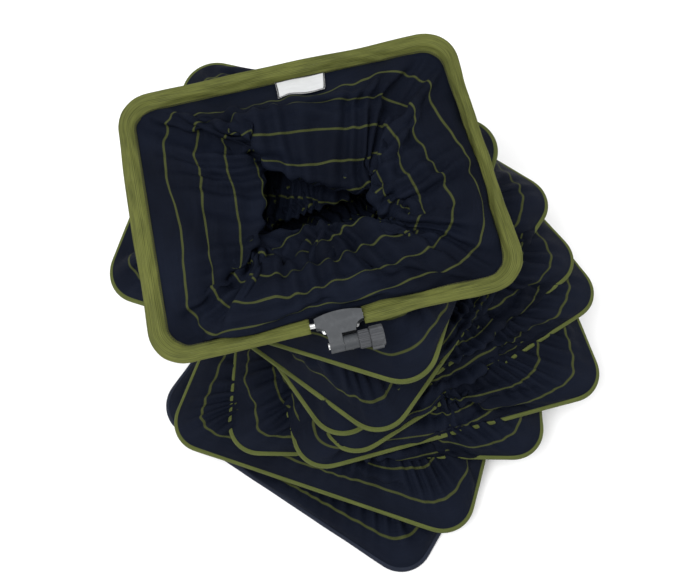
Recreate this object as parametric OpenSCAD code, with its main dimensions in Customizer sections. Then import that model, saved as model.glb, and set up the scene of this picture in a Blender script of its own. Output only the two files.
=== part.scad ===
// Rectangular fishing keepnet, set down collapsed with its hoops fanned out.
// Origin: centre of the bottom hoop, on the ground. +Z is up, -Y is the side that the bracket faces.

/* [Hoops] */
// Length of a hoop, measured along the middle of its binding
hoop_len = 500; // [380:10:600]
// Width of a hoop, measured along the middle of its binding
hoop_wid = 400; // [300:10:500]
// Corner radius of a hoop, along the middle of its binding
hoop_rad = 48; // [40:1:80]
// Diameter of the fibre rod inside each binding
rod_d = 5; // [3:0.5:6]
// Diameter of the cloth binding sewn round a hoop
bind_d = 11; // [10:0.5:14]
// Outside diameter of the metal ferrule that joins a rod's two ends
ferrule_d = 7; // [6.5:0.1:8]
// Length of that ferrule
ferrule_len = 30; // [20:1:50]
// Gap left between the two rod ends inside the ferrule
rod_gap = 0.4; // [0.2:0.1:2]

/* [Mouth] */
// Length of the mouth frame, along the middle of its rod
mouth_len = 484; // [380:2:600]
// Width of the mouth frame, along the middle of its rod
mouth_wid = 386; // [300:2:500]
// Corner radius of the mouth frame
mouth_rad = 42; // [35:1:80]
// Diameter of the steel rod of the mouth frame
mouth_rod_d = 8; // [6:0.5:9]
// Width of the mesh sleeve that covers the mouth frame
sleeve_w = 26; // [18:1:30]
// Height of that sleeve
sleeve_h = 12; // [11:0.5:16]
// Distance of the bracket's middle from the middle of the front side
bracket_x = -6; // [-100:1:100]

/* [Netting] */
// Thickness of a netting wall, wide enough to stay one solid where it leans
net_t = 6; // [4:0.5:8]
// Thickness of the netting sewn across the bottom hoop
panel_t = 1.2; // [0.8:0.1:3]
// Width of the cloth label
label_w = 75; // [40:1:100]
// Height of the cloth label
label_h = 34; // [20:1:40]
// Distance of the label's middle from the middle of the back side
label_x = 20; // [-100:1:100]
// Thickness of the cloth label
label_t = 1.2; // [0.8:0.1:2]

/* [Bracket] */
// Full width of the clamp's wings along the frame rod
wing_w = 64; // [56:1:80]
// Height of the clamp's upper half, above the middle of the frame rod
clamp_top = 10; // [8:0.5:14]
// Distance from the frame rod to the tilt axis
tilt_out = 32; // [28:1:40]
// Diameter of the tilt barrel
barrel_d = 20; // [18:0.5:24]
// Length of one half of the tilt barrel
knuckle_len = 19; // [16:0.5:24]
// Diameter of the pivot pin
pin_d = 6; // [5:0.5:7]
// Radius of the bank-stick thread, 3/8 inch BSF
stud_r = 4.76; // [4.76:0.01:4.77]
// Length of the thread
stud_len = 14; // [10:1:20]
// Radius of the stud's plain root, which is moulded into the hub
root_r = 3.5; // [3:0.1:4]
// How much of the plain root shows between the hub and the thread
root_show = 0.6; // [0.5:0.1:2]
// Outside diameter of the ribbed lock collar
collar_d = 25; // [22:0.5:30]
// Length of the lock collar
collar_len = 15; // [12:0.5:20]
// Outside diameter of the ribbed lock knob
knob_d = 29; // [26:0.5:38]
// Length of the lock knob
knob_len = 18; // [16:0.5:24]
// Diameter of each clamp screw
screw_d = 4; // [3:0.5:5]
// How far the knob is pulled to free the teeth
knob_travel = 4; // [3:0.5:5]

/* [Fits] */
// Radial clearance of a rod in its binding or sleeve
rod_fit = 0.1; // [0.05:0.05:0.3]
// Radial clearance of the running pin
run_fit = 0.05; // [0.02:0.01:0.1]
// Clearance between the lock teeth and their sockets
tooth_fit = 0.3; // [0.2:0.05:0.5]
// Gap between neighbouring faces that move past each other
face_gap = 0.4; // [0.3:0.05:1]

/* [Pile] */
// Height of the middle of each hoop, from the bottom hoop up to the mouth
hoop_z = [5.5, 32, 58, 86, 114, 142, 170, 268, 340];
// Sideways place of each hoop
hoop_x = [0, 11, 71, 129, 111, 74, 46, -62, -42];
// Front-to-back place of each hoop
hoop_y = [0, 27, 84, 110, 166, 193, 205, 209, 204];
// Turn of each hoop about the vertical
hoop_turn = [-32, -18, -1, 15, 32, 36, 54, -19, 13];
// Lean of each hoop about X, back side up
hoop_lean_x = [0, 0, 0, 0, 0, 0, 1, 8, 6];
// Lean of each hoop about Y, right side down
hoop_lean_y = [0, 0, 0, 0, 0, 0, 1, -7, -1.5];

/* [Hidden] */
$fn = 48;
last = 8;
arc_n = 8;
net_layers = 3;
ear_len = knuckle_len;
collar_x = knuckle_len + face_gap;
knob_x = collar_x + collar_len + face_gap;
knob_wall = 4;
rib_out = 1.8;
tab_w = 7;
tab_out = 2.5;
spring_room_d = 15;
washer_t = 2;
washer_x = knob_x + knob_len - 5;
cap_t = 2;
gear_core_d = 11;
gear_d = 15;
gear_teeth = 8;
tooth_w = 2.4;
socket_len = knob_travel - 0.4;
gear_x = knuckle_len - socket_len;
head_d = 9;
wire_d = 0.9;
spring_r = (pin_d + 4) / 2;
spring_turns = 4;
boss_d = 15;
boss_len = 16;
stud_root = 9;
clamp_low = sleeve_h / 2 - face_gap;
screw_head = 3;
screw_x = 21;
screw_y = -10;
neck_w = 2 * knuckle_len;
flank_r = (wing_w - neck_w) / 2;
neck_y = 7 + flank_r;
clamp_back = 11;
crown_r = 110;
label_lean = 52;

// ---- where each hoop lies ----

// Moves a child from a hoop's own frame to its place in the pile
module at_hoop(k) {
    translate([hoop_x[k], hoop_y[k], hoop_z[k]])
        rotate([0, hoop_lean_y[k], 0])
            rotate([hoop_lean_x[k], 0, 0])
                rotate([0, 0, hoop_turn[k]])
                    children();
}

// The same move for one point
function turn_z(p, a) = [p.x * cos(a) - p.y * sin(a), p.x * sin(a) + p.y * cos(a), p.z];
function turn_x(p, a) = [p.x, p.y * cos(a) - p.z * sin(a), p.y * sin(a) + p.z * cos(a)];
function turn_y(p, a) = [p.x * cos(a) + p.z * sin(a), p.y, p.z * cos(a) - p.x * sin(a)];
function hoop_point(k, p) =
    turn_y(turn_x(turn_z(p, hoop_turn[k]), hoop_lean_x[k]), hoop_lean_y[k])
    + [hoop_x[k], hoop_y[k], hoop_z[k]];

// ---- shapes that repeat ----

// Sweeps a flat profile round a rectangle with rounded corners; the profile's +X points outwards
module sweep_round(l, w, r) {
    for (c = [[1, 1, 0], [-1, 1, 90], [-1, -1, 180], [1, -1, 270]])
        translate([c.x * (l / 2 - r), c.y * (w / 2 - r), 0])
            rotate([0, 0, c.z])
                rotate_extrude(angle = 90)
                    translate([r, 0])
                        children();
    for (a = [0, 180])
        rotate([0, 0, a]) {
            translate([r - l / 2, w / 2, 0])
                rotate([90, 0, 90])
                    linear_extrude(l - 2 * r)
                        children();
            translate([l / 2, w / 2 - r, 0])
                rotate([90, 0, 0])
                    linear_extrude(w - 2 * r)
                        children();
        }
}

// Cylinder along X, from x to x + len
module bar_x(d, x, len) {
    translate([x, 0, 0])
        rotate([0, 90, 0])
            cylinder(d = d, h = len);
}

// Ribs of a grip, standing out of a barrel along X
module grip_ribs(d, x, len, count, rib_d) {
    for (i = [0 : count - 1])
        rotate([i * 360 / count, 0, 0])
            translate([0, 0, (d - rib_d) / 2])
                bar_x(rib_d, x, len);
}

// Cross-section of the toothed sleeve; grow makes the socket that it slides in
module gear_outline(grow = 0) {
    circle(d = gear_core_d + 2 * grow);
    for (i = [0 : gear_teeth / 2 - 1])
        rotate(i * 360 / gear_teeth)
            square([gear_d + 2 * grow, tooth_w + 2 * grow], center = true);
}

// Extrudes a flat outline along X, from x to x + len
module along_x(x, len) {
    translate([x, 0, 0])
        rotate([0, 90, 0])
            linear_extrude(len)
                children();
}

// Place of the tilt axis, in the mouth frame's own frame
module at_bracket() {
    at_hoop(last)
        translate([bracket_x, -mouth_wid / 2, 0])
            children();
}

module at_tilt_axis() {
    at_bracket()
        translate([0, -tilt_out, 0])
            children();
}

// ---- hoops ----

// One fibre rod, bent to a hoop; its two ends meet at the middle of the back side
module rod(k) {
    color("dimgray")
        at_hoop(k)
            difference() {
                sweep_round(hoop_len, hoop_wid, hoop_rad)
                    circle(d = rod_d);
                translate([-rod_gap / 2, hoop_wid / 2 - rod_d, -rod_d])
                    cube([rod_gap, 2 * rod_d, 2 * rod_d]);
            }
}

// Metal tube over the rod's two ends
module ferrule(k) {
    color("silver")
        at_hoop(k)
            translate([0, hoop_wid / 2, 0])
                difference() {
                    bar_x(ferrule_d, -ferrule_len / 2, ferrule_len);
                    bar_x(rod_d + 2 * rod_fit, -ferrule_len / 2 - 1, ferrule_len + 2);
                }
}

// Cloth binding, hollow for the rod and for its ferrule
module binding(k, shade) {
    color(shade)
        at_hoop(k)
            difference() {
                sweep_round(hoop_len, hoop_wid, hoop_rad)
                    difference() {
                        circle(d = bind_d);
                        circle(d = rod_d + 2 * rod_fit);
                        if (k == 0)
                            translate([-bind_d, -bind_d / 2 - 1])
                                square([bind_d, panel_t + 1]);
                    }
                translate([0, hoop_wid / 2, 0])
                    bar_x(ferrule_d + 2 * rod_fit, -ferrule_len / 2 - 1, ferrule_len + 2);
            }
}

// Netting across the bottom hoop, sewn under the inner half of its binding
module base_panel() {
    color("midnightblue")
        at_hoop(0)
            translate([0, 0, -bind_d / 2])
                linear_extrude(panel_t)
                    union() {
                        square([hoop_len - 2 * hoop_rad, hoop_wid], center = true);
                        square([hoop_len, hoop_wid - 2 * hoop_rad], center = true);
                        for (x = [-1, 1], y = [-1, 1])
                            translate([x * (hoop_len / 2 - hoop_rad), y * (hoop_wid / 2 - hoop_rad)])
                                circle(r = hoop_rad);
                    }
}

// ---- netting ----

// Points round a rounded rectangle, anticlockwise, at height z of its own frame
function round_points(l, w, r, z) = [
    for (c = [[1, 1, 0], [-1, 1, 90], [-1, -1, 180], [1, -1, 270]], i = [0 : arc_n])
        [c.x * (l / 2 - r) + r * cos(c.z + 90 * i / arc_n),
         c.y * (w / 2 - r) + r * sin(c.z + 90 * i / arc_n), z]
];
// Outline of hoop k, grown by g, lifted by z along the hoop's own axis
function hoop_outline(k, g, z) = [
    for (p = k == last
             ? round_points(mouth_len + 2 * g, mouth_wid + 2 * g, mouth_rad + g, z)
             : round_points(hoop_len + 2 * g, hoop_wid + 2 * g, hoop_rad + g, z))
        hoop_point(k, p)
];
function mix(a, b, t) = [for (i = [0 : len(a) - 1]) a[i] * (1 - t) + b[i] * t];

// Wall of netting between hoop k - 1 and hoop k; every level is a blend of the two outlines
module net_section(k) {
    lift_low = bind_d / 2;
    lift_high = k == last ? -sleeve_h / 2 : -bind_d / 2;
    skins = [for (g = [net_t / 2, -net_t / 2], j = [0 : net_layers])
        mix(hoop_outline(k - 1, g, lift_low), hoop_outline(k, g, lift_high), j / net_layers)];
    n = len(skins[0]);
    in0 = n * (net_layers + 1);
    out_faces = [for (j = [0 : net_layers - 1], i = [0 : n - 1])
        let (a = j * n + i, b = j * n + (i + 1) % n)
            each [[a, a + n, b + n], [a, b + n, b]]];
    in_faces = [for (f = out_faces) [f[2] + in0, f[1] + in0, f[0] + in0]];
    rim_faces = [for (i = [0 : n - 1])
        let (a = i, b = (i + 1) % n, top = net_layers * n)
            each [[a, b, b + in0], [a, b + in0, a + in0],
                  [a + top, b + in0 + top, b + top], [a + top, a + in0 + top, b + in0 + top]]];
    color("midnightblue")
        polyhedron(points = [for (s = skins) each s], faces = concat(out_faces, in_faces, rim_faces));
}

// ---- mouth ----

// Steel rod of the mouth; its two ends meet inside the bracket
module mouth_frame() {
    color("silver")
        at_hoop(last)
            difference() {
                sweep_round(mouth_len, mouth_wid, mouth_rad)
                    circle(d = mouth_rod_d);
                translate([bracket_x - rod_gap / 2, -mouth_wid / 2 - mouth_rod_d, -mouth_rod_d])
                    cube([rod_gap, 2 * mouth_rod_d, 2 * mouth_rod_d]);
            }
}

// Mesh sleeve sewn over the mouth frame, open where the bracket sits
module mouth_sleeve() {
    side = sleeve_w - sleeve_h;
    color("olive")
        at_hoop(last)
            difference() {
                sweep_round(mouth_len, mouth_wid, mouth_rad)
                    difference() {
                        union() {
                            square([side, sleeve_h], center = true);
                            for (x = [-side / 2, side / 2])
                                translate([x, 0])
                                    circle(d = sleeve_h);
                        }
                        circle(d = mouth_rod_d + 2 * rod_fit);
                    }
                translate([bracket_x - wing_w / 2 - face_gap, -mouth_wid / 2 - sleeve_w, -sleeve_h])
                    cube([wing_w + 2 * face_gap, 2 * sleeve_w, 2 * sleeve_h]);
            }
}

// Blank cloth label, sewn to the sleeve's inner edge at the back and lying on the slack netting
module label() {
    color("whitesmoke")
        at_hoop(last)
            translate([label_x, (mouth_wid - sleeve_w) / 2, 0])
                rotate([-label_lean, 0, 0])
                    translate([-label_w / 2, -label_t, -label_h])
                        cube([label_w, label_t, label_h]);
}

// ---- bracket ----

// Plan of the clamp: a crowned back edge, wings along the rod, hollow flanks and a square neck
module clamp_plan() {
    difference() {
        intersection() {
            translate([-wing_w / 2, -neck_y])
                square([wing_w, neck_y + clamp_back]);
            translate([0, clamp_back - crown_r])
                circle(r = crown_r, $fn = 96);
        }
        for (x = [-1, 1])
            translate([x * wing_w / 2, -neck_y])
                circle(r = flank_r);
    }
}

// Holes through the clamp for the rod and the two screws
module clamp_holes() {
    bar_x(mouth_rod_d + 2 * rod_fit, -wing_w, 2 * wing_w);
    for (x = [-screw_x, screw_x])
        translate([x, screw_y, -clamp_low - 1])
            cylinder(d = screw_d + 2 * rod_fit, h = clamp_low + 1 + clamp_top / 2);
}

// Upper half of the clamp, its neck, and the fixed ear of the tilt barrel
module bracket_body() {
    color("#34363a")
        at_bracket()
            difference() {
                union() {
                    linear_extrude(clamp_top)
                        clamp_plan();
                    translate([-neck_w / 2, -tilt_out, 0])
                        cube([ear_len - face_gap, tilt_out - neck_y + 1, clamp_top]);
                    translate([0, -tilt_out, 0])
                        bar_x(barrel_d, -ear_len, ear_len - face_gap);
                }
                clamp_holes();
                translate([0, -tilt_out, 0])
                    bar_x(pin_d, -ear_len - 1, ear_len + 2);
            }
}

// Lower half of the clamp
module bracket_back() {
    color("#2c2e32")
        at_bracket()
            difference() {
                translate([0, 0, -clamp_low])
                    linear_extrude(clamp_low)
                        clamp_plan();
                clamp_holes();
                for (x = [-screw_x, screw_x])
                    translate([x, screw_y, -clamp_low - 1])
                        cylinder(d = 2 * screw_d + 2 * rod_fit, h = screw_head + 1);
            }
}

// Two screws that draw the clamp's halves together from below
module clamp_screws() {
    color("silver")
        at_bracket()
            for (x = [-screw_x, screw_x])
                translate([x, screw_y, -clamp_low])
                    difference() {
                        union() {
                            cylinder(d = 2 * screw_d, h = screw_head);
                            cylinder(d = screw_d, h = clamp_low + clamp_top / 2 - 0.5);
                        }
                        translate([0, 0, -1])
                            cylinder(d = screw_d / 2, h = 3, $fn = 6);
                    }
}

// Pin on the tilt axis; its head is at the ear, its washer holds the knob's spring
module pivot_pin() {
    color("silver")
        at_tilt_axis() {
            bar_x(head_d, -ear_len - 2, 2);
            bar_x(pin_d, -ear_len, washer_x + washer_t + ear_len);
            bar_x(head_d + 3, washer_x, washer_t);
        }
}

// Ribbed collar that stays fixed on the pin and guides the teeth
module lock_collar() {
    color("#3a3c40")
        at_tilt_axis()
            difference() {
                union() {
                    bar_x(collar_d - rib_out, collar_x, collar_len);
                    grip_ribs(collar_d, collar_x + 1, collar_len - 2, 16, 3);
                }
                along_x(collar_x - 1, collar_len + 2)
                    gear_outline(tooth_fit);
            }
}

// Barrel that tilts and carries the threaded stud
module tilt_hub() {
    color("#303236")
        at_tilt_axis()
            difference() {
                union() {
                    bar_x(barrel_d, 0, knuckle_len);
                    translate([knuckle_len / 2, 0, -boss_len])
                        cylinder(d = boss_d, h = boss_len);
                }
                bar_x(pin_d + 2 * run_fit, -1, knuckle_len + 2);
                bar_x(gear_d + 2 * tooth_fit, gear_x - tooth_fit, knuckle_len);
                translate([knuckle_len / 2, 0, -boss_len - 1])
                    cylinder(r = root_r, h = stud_root + 1);
            }
}

// Stud that screws into a bank stick
module thread_stud() {
    color("goldenrod")
        at_tilt_axis()
            translate([knuckle_len / 2, 0, -boss_len - root_show - stud_len]) {
                cylinder(r = stud_r, h = stud_len);
                cylinder(r = root_r, h = stud_len + root_show + stud_root);
            }
}

// Toothed sleeve that locks the hub to the collar until the knob is pulled; it turns clear in the hub here
module lock_gear() {
    color("gray")
        at_tilt_axis()
            along_x(gear_x, knob_x - gear_x)
                difference() {
                    gear_outline();
                    circle(d = pin_d + 2 * run_fit);
                }
}

// Ribbed knob, hollow for its spring
module lock_knob() {
    color("#3a3c40")
        at_tilt_axis()
            difference() {
                union() {
                    bar_x(knob_d - rib_out, knob_x, knob_len);
                    grip_ribs(knob_d, knob_x + 1, knob_len - 2, 10, 6);
                    translate([knob_x, -knob_d / 2 - tab_out, -tab_w / 2])
                        cube([knob_len - 3, tab_out + rib_out, tab_w]);
                }
                bar_x(pin_d + 2 * run_fit, knob_x - 1, knob_wall + 2);
                bar_x(spring_room_d, knob_x + knob_wall, knob_len);
            }
}

// Cap that closes the knob's open end
module knob_cap() {
    color("#44464a")
        at_tilt_axis()
            bar_x(spring_room_d, knob_x + knob_len - cap_t, cap_t);
}

// Spring that pushes the knob and its teeth home
module knob_spring() {
    room = washer_x - knob_x - knob_wall;
    step = (room - wire_d) / spring_turns;
    color("silver")
        at_tilt_axis()
            for (i = [0 : spring_turns])
                translate([knob_x + knob_wall + wire_d / 2 + i * step, 0, 0])
                    rotate([0, 90, 0])
                        rotate_extrude()
                            translate([spring_r, 0])
                                circle(d = wire_d, $fn = 16);
}

rod(0);  // base_hoop
ferrule(0);  // base_ferrule
binding(0, "midnightblue");  // base_binding
base_panel();
rod(1);  // hoop_1
rod(2);  // hoop_2
rod(3);  // hoop_3
rod(4);  // hoop_4
rod(5);  // hoop_5
rod(6);  // hoop_6
rod(7);  // hoop_7
ferrule(1);  // ferrule_1
ferrule(2);  // ferrule_2
ferrule(3);  // ferrule_3
ferrule(4);  // ferrule_4
ferrule(5);  // ferrule_5
ferrule(6);  // ferrule_6
ferrule(7);  // ferrule_7
binding(1, "darkolivegreen");  // binding_1
binding(2, "darkolivegreen");  // binding_2
binding(3, "darkolivegreen");  // binding_3
binding(4, "darkolivegreen");  // binding_4
binding(5, "darkolivegreen");  // binding_5
binding(6, "darkolivegreen");  // binding_6
binding(7, "darkolivegreen");  // binding_7
net_section(1);  // net_1
net_section(2);  // net_2
net_section(3);  // net_3
net_section(4);  // net_4
net_section(5);  // net_5
net_section(6);  // net_6
net_section(7);  // net_7
net_section(8);  // net_8
mouth_frame();
mouth_sleeve();
label();
bracket_body();
bracket_back();
clamp_screws();
pivot_pin();
lock_collar();
tilt_hub();
thread_stud();
lock_gear();
lock_knob();
knob_cap();
knob_spring();
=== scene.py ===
# %% [markdown]
# # A rectangular keepnet, set down collapsed
# A keepnet is a long tube of fine netting held open by seven rectangular hoops, with a
# stiff mouth frame on top and a base hoop at the bottom. Here it has been let down on the
# floor, so the hoops lie fanned out one over another, and the netting between them has
# crumpled inwards. This lesson rebuilds it in cells. The measured frame comes first: every
# hoop, rod and screw is already a solid with a place, and we only read where each one is.

import math

import bpy
import numpy as np
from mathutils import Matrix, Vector


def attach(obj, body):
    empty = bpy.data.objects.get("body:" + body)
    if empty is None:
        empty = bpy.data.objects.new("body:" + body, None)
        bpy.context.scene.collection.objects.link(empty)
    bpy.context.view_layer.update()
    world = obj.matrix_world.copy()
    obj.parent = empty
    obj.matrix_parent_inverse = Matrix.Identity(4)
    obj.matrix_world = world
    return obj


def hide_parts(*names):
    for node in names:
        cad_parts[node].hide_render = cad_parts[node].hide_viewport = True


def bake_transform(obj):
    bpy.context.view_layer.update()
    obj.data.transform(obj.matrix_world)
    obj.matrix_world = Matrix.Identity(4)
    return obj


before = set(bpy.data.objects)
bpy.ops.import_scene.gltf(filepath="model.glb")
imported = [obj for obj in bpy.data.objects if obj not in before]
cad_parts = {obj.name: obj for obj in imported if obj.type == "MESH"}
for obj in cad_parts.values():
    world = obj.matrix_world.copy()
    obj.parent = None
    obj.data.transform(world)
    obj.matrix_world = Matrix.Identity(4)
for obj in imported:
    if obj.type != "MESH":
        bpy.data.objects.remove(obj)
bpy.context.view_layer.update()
scene = bpy.context.scene

# %% [markdown]
# ## The camera
# The net is seen from the front and well above, as someone standing over it would. The
# camera is fixed before any piece is made. It aims at a point on the floor under the middle
# of the pile.

# %% Camera
AIM = Vector((0.0107, 0.190, 0.0))
ELEVATION = math.radians(67.5)
DISTANCE = 1.26
LENS_MM = 35.1


def look(obj, target):
    """Turns obj so that its -Z axis points at target."""
    obj.rotation_euler = (Vector(target) - obj.location).to_track_quat("-Z", "Y").to_euler()


camera = bpy.data.objects.new("camera", bpy.data.cameras.new("camera"))
scene.collection.objects.link(camera)
camera.data.sensor_width = 36
camera.data.lens = LENS_MM
camera.location = AIM + DISTANCE * Vector((0, -math.cos(ELEVATION), math.sin(ELEVATION)))
look(camera, AIM)
scene.camera = camera
print("camera stands at", tuple(round(c, 3) for c in camera.location))

# %% [markdown]
# ## Where each hoop lies
# Everything soft hangs from the hoops, so we need each hoop's middle, its own three axes,
# and its size. They could be typed in, but then a change to the frame would leave the cloth
# behind. Instead we measure the rods: the flattest direction of a rod's points is the
# hoop's axis, and the tightest rectangle round them gives its long and short sides.

# %% Measure the hoops
ROD = 0.005
MOUTH_ROD = 0.008
HOOP_CORNER = 0.048
MOUTH_CORNER = 0.042
LAST = 8


def node_points(node):
    """The vertices of a CAD node as an array of points."""
    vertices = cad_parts[node].data.vertices
    flat = np.empty(len(vertices) * 3, np.float32)
    vertices.foreach_get("co", flat)
    return flat.reshape(-1, 3).astype(float)


def tightest_turn(flat, angles):
    """The angle whose upright rectangle round the flat points is smallest, long side first."""
    x = np.outer(np.cos(angles), flat[:, 0]) + np.outer(np.sin(angles), flat[:, 1])
    y = np.outer(np.cos(angles), flat[:, 1]) - np.outer(np.sin(angles), flat[:, 0])
    length, width = np.ptp(x, axis=1), np.ptp(y, axis=1)
    return angles[np.argmin(np.where(length > width, length * width, np.inf))]


def measure_hoop(node, rod, corner):
    """Middle, axes (long, short, upright) and rod-centre size of a rounded rectangular hoop."""
    points = node_points(node)
    middle = points.mean(0)
    upright = np.linalg.svd(points - middle, full_matrices=False)[2][2]
    upright *= np.sign(upright[2])
    east = np.array([1.0, 0, 0]) - upright[0] * upright
    east /= np.linalg.norm(east)
    north = np.cross(upright, east)
    flat = (points - middle) @ np.stack([east, north], 1)
    turn = tightest_turn(flat, np.radians(np.arange(-90, 90, 0.5)))
    turn = tightest_turn(flat, turn + np.radians(np.arange(-0.5, 0.5, 0.01)))
    along = math.cos(turn) * east + math.sin(turn) * north
    across = np.cross(upright, along)
    axes = np.stack([along, across, upright])
    local = (points - middle) @ axes.T
    low, high = local.min(0), local.max(0)
    return {
        "middle": middle + (low + high) / 2 @ axes,
        "axes": axes,
        "size": (high - low)[:2] - rod,
        "corner": corner,
    }


hoops = [measure_hoop("base_hoop", ROD, HOOP_CORNER)]
hoops += [measure_hoop(f"hoop_{k}", ROD, HOOP_CORNER) for k in range(1, LAST)]
hoops += [measure_hoop("mouth_frame", MOUTH_ROD, MOUTH_CORNER)]
bodies = ["base"] + [f"ring_{k}" for k in range(1, LAST)] + ["mouth"]
for body, hoop in zip(bodies, hoops):
    print(body, "middle", hoop["middle"].round(3), "size", hoop["size"].round(3))

# %% [markdown]
# ## A way round a hoop
# The rods, bindings, walls and stitches all run round the same rounded rectangle. One
# helper gives points on it for any share of the way round, from 0 to 1, together with the
# direction that points outwards there. Shares past 1 simply go round again.

# %% The way round
ARC_STEPS = 17


def way_length(hoop):
    """Length once round: four straight sides and four quarter circles."""
    return 2 * hoop["size"].sum() - (8 - 2 * math.pi) * hoop["corner"]


def way(hoop, share, grow=0.0, lift=0.0):
    """Points and outward directions at a share of the way round a hoop, anticlockwise.

    The corners are quarter circles, the sides straight; the table of both is read by arc
    length. grow moves a point outwards and lift moves it along the hoop's upright axis.
    """
    corner = hoop["corner"]
    angle = np.arange(4)[:, None] * np.pi / 2 + np.linspace(0, np.pi / 2, ARC_STEPS)
    out = np.stack([np.cos(angle), np.sin(angle)], -1)
    signs = np.array([[1, 1], [-1, 1], [-1, -1], [1, -1]])
    points = ((signs * (hoop["size"] / 2 - corner))[:, None] + corner * out).reshape(-1, 2)
    out = out.reshape(-1, 2)
    points, out = np.vstack([points, points[:1]]), np.vstack([out, out[:1]])
    along = np.r_[0, np.cumsum(np.linalg.norm(np.diff(points, axis=0), axis=1))]
    at = np.mod(share, 1.0) * along[-1]
    flat = np.stack([np.interp(at, along, points[:, i]) for i in (0, 1)], -1)
    side = np.stack([np.interp(at, along, out[:, i]) for i in (0, 1)], -1)
    side /= np.linalg.norm(side, axis=-1, keepdims=True)
    long_axis, short_axis, upright = hoop["axes"]
    outward = side[..., :1] * long_axis + side[..., 1:] * short_axis
    place = hoop["middle"] + flat[..., :1] * long_axis + flat[..., 1:] * short_axis
    return place + outward * grow + upright * lift, outward


def front_share(hoop, x):
    """The share of the way at which the front side passes x on the hoop's long axis."""
    length, width = hoop["size"] - 2 * hoop["corner"]
    return (1.5 * np.pi * hoop["corner"] + length + width + x + length / 2) / way_length(hoop)


def back_share(hoop, x):
    """The share of the way at which the back side passes x on the hoop's long axis."""
    length = hoop["size"][0] - 2 * hoop["corner"]
    return (0.5 * np.pi * hoop["corner"] + length / 2 - x) / way_length(hoop)


print("once round a hoop:", round(way_length(hoops[1]), 4), "m")

# %% [markdown]
# ## From a grid of points to a mesh
# Every new piece is a grid: a whole array of points worked out at once, row by row. This
# helper joins neighbouring points with four-sided faces, closes the grid where it meets
# itself, and writes a UV map in metres, so that a weave keeps its real size anywhere.

# %% Grid to mesh
def grid_faces(rows, columns, wrap_rows, wrap_columns):
    """Corner numbers of every face: (r, c), (r, c+1), (r+1, c+1), (r+1, c), wrapped if asked."""
    r, c = np.meshgrid(
        np.arange(rows if wrap_rows else rows - 1),
        np.arange(columns if wrap_columns else columns - 1),
        indexing="ij",
    )
    corners = np.stack([r, r, r + 1, r + 1], -1), np.stack([c, c + 1, c + 1, c], -1)
    return (corners[0] % rows) * columns + corners[1] % columns, corners


def link_mesh(name, points, faces, uv=None):
    """A linked object with these points and faces, smooth shaded; uv has one pair per corner."""
    mesh = bpy.data.meshes.new(name)
    mesh.from_pydata(points.tolist(), [], faces.tolist())
    mesh.polygons.foreach_set("use_smooth", np.ones(len(mesh.polygons), bool))
    if uv is not None:
        mesh.uv_layers.new(name="cloth").data.foreach_set("uv", uv.astype(np.float32).ravel())
    mesh.update()
    obj = bpy.data.objects.new(name, mesh)
    scene.collection.objects.link(obj)
    return obj


def grid_mesh(name, points, span, wrap_rows=False, wrap_columns=False):
    """An object from points[row, column]; span is the real size along the columns and rows."""
    rows, columns = points.shape[:2]
    faces, (r, c) = grid_faces(rows, columns, wrap_rows, wrap_columns)
    steps = columns if wrap_columns else columns - 1, rows if wrap_rows else rows - 1
    uv = np.stack([c * span[0] / steps[0], r * span[1] / steps[1]], -1)
    return link_mesh(name, points.reshape(-1, 3), faces.reshape(-1, 4), uv)


def wear(obj, body, material, slot, *nodes):
    """Gives a new piece its material, its body, and the CAD nodes it stands for; slot is not used.
    """
    obj.data.materials.append(material)
    if body:
        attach(obj, body)
    if nodes:
        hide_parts(*nodes)
    return obj


print("a 3 x 4 grid closed both ways has", grid_faces(3, 4, True, True)[0].size // 4, "faces")

# %% [markdown]
# ## How the sleeve leans
# The mesh sleeve round the mouth frame has a flat inner edge, the fin, that the top wall is
# sewn to. It is free to turn on the rod, so it leans by a different amount on each side. The
# wall's top edge has to be sewn where the fin really is, so the lean is settled first.

# %% How the sleeve leans
FIN = 0.0128
LEAN_FLAT = 12
LEAN_MORE = {"right": (44, 0.11), "back": (30, 0.13), "left": (-4, 0.1), "front": (4, 0.1)}


def lean_at(share):
    """How far the mouth's sleeve leans, inner edge down, at a share of the way round.

    A small steady angle, plus a bell for each side, measured the short way round the hoop.
    """
    hoop = hoops[LAST]
    half_width = (hoop["size"][1] / 2 - hoop["corner"]) / way_length(hoop)
    back, front = back_share(hoop, 0), front_share(hoop, 0)
    middles = {"right": -half_width, "back": back, "left": (back + front) / 2, "front": front}
    lean = np.full(np.shape(share), float(LEAN_FLAT))
    for side, (more, width) in LEAN_MORE.items():
        apart = np.mod(share - middles[side] + 0.5, 1) - 0.5
        lean += more * np.exp(-((apart / width) ** 4))
    return np.radians(lean)


print("the sleeve leans", np.degrees(lean_at(np.arange(4) / 4)).round(), "degrees")

# %% [markdown]
# ## Letting the walls down
# Between two hoops the netting is a tube 437 mm long, and the hoops lie only 26 to 98 mm
# apart, so most of it has folded inwards. Folds like that can't be drawn by hand. Each wall
# starts as a straight tube drawn in at its middle by up to half, so that the folds go the
# right way, and its top edge is let down to the next hoop while Blender's cloth solver
# crumples the rest. The walls are let down from the bottom up, each on those below.

# %% Cloth settings
WALL = 0.437
AROUND, RISE = 126, 32
EDGE = 0.0045
LOWER_FRAMES, SETTLE_FRAMES = 32, 10
THREAD_GAP = 0.0035
PINCH = [0, 0.5, 0.5, 0.5, 0.5, 0.5, 0.5, 0.45, 0.28]
PULL = [0, 20, 20, 20, 20, 20, 20, 14, 0]
WAVES = [(3, 0.008), (5, 0.006), (8, 0.004)]


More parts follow.
